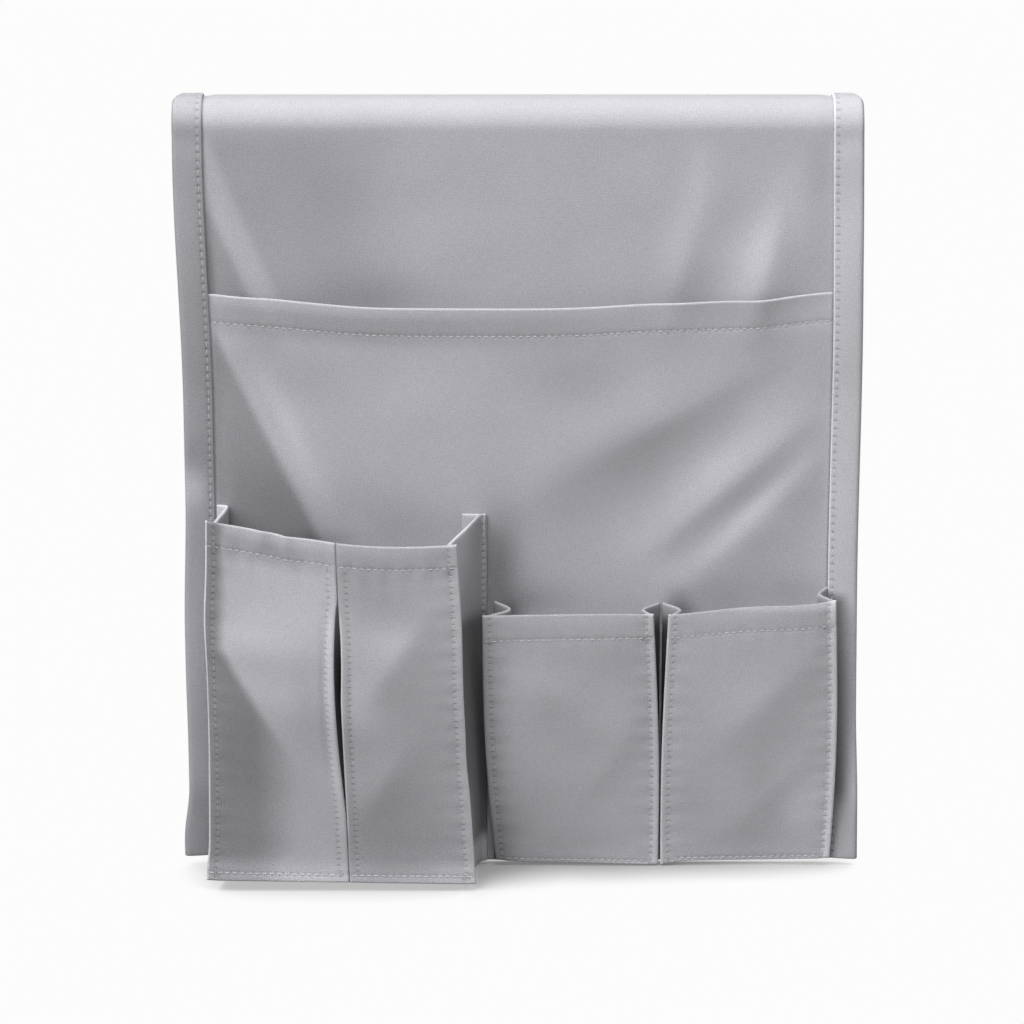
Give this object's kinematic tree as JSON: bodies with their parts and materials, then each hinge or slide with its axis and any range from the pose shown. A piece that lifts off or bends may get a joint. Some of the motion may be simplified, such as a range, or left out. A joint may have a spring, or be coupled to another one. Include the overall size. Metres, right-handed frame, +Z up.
{
  "type": "couch organizer",
  "caption": "Folded canvas strip that hangs over a couch arm, with a wide magazine pocket, a slit tissue pocket and pleated remote control pockets that fold flat.",
  "frame": {"origin": "middle of the underside of the top fold, where the strip rests on the arm of the couch", "axes": "+Z up, the front with the pockets faces -Y, +X to the right seen from the front"},
  "size_m": [0.3, 0.0787, 0.3436],
  "materials": {
    "canvas": "plain woven light grey canvas, matte",
    "hem_canvas": "the same canvas, turned and topstitched",
    "gusset_canvas": "the same canvas, pleated",
    "grip_rubber": "matte, soft"
  },
  "bodies": {
    "root": {"front_panel": "canvas", "top_fold": "canvas", "front_hem": "canvas", "front_band_left": "hem_canvas", "front_band_right": "hem_canvas", "fold_band_left": "hem_canvas", "fold_band_right": "hem_canvas", "magazine_pocket": "canvas", "tissue_gusset_left": "gusset_canvas", "tissue_gusset_right": "gusset_canvas", "tissue_base": "gusset_canvas", "remote_pleat_1": "gusset_canvas", "remote_pleat_2": "gusset_canvas", "remote_pleat_3": "gusset_canvas", "remote_pleat_4": "gusset_canvas"},
    "arm_cover": {"arm_cover": "canvas", "arm_band_left": "hem_canvas", "arm_band_right": "hem_canvas", "grip_strip_upper": "grip_rubber", "grip_strip_lower": "grip_rubber"},
    "tuck_flap": {"tuck_flap": "canvas", "tuck_band_left": "hem_canvas", "tuck_band_right": "hem_canvas", "tuck_hem": "canvas"},
    "tissue_front": {"tissue_front_left": "canvas", "tissue_front_right": "canvas"},
    "remote_front_left": {"remote_front_left": "canvas"},
    "remote_front_right": {"remote_front_right": "canvas"}
  },
  "joints": [
    {"name": "arm_fold", "type": "hinge", "parent": "root", "child": "arm_cover", "pos_m": [0, 0.01, -0.0046], "axis": [1, 0, 0], "range_deg": [0, 90], "deforming": ["top_fold", "fold_band_left", "fold_band_right"]},
    {"name": "tuck_fold", "type": "hinge", "parent": "arm_cover", "child": "tuck_flap", "pos_m": [0, 0.0146, -0.1616], "axis": [1, 0, 0], "range_deg": [-90, 0]},
    {"name": "tissue_collapse", "type": "slide", "parent": "root", "child": "tissue_front", "axis": [0, 1, 0], "range_m": [0, 0.03], "deforming": ["tissue_gusset_left", "tissue_gusset_right", "tissue_base"]},
    {"name": "remote_left_fold", "type": "hinge", "parent": "root", "child": "remote_front_left", "pos_m": [0, -0.02084, -0.3416], "axis": [-1, 0, 0], "range_deg": [0, 7], "deforming": ["remote_pleat_1", "remote_pleat_2"]},
    {"name": "remote_right_fold", "type": "hinge", "parent": "root", "child": "remote_front_right", "pos_m": [0, -0.02084, -0.3416], "axis": [-1, 0, 0], "range_deg": [0, 7], "deforming": ["remote_pleat_3", "remote_pleat_4"]}
  ],
  "couplings": [
    {"joint": "tuck_fold", "follows": "arm_fold", "ratio": -1}
  ]
}
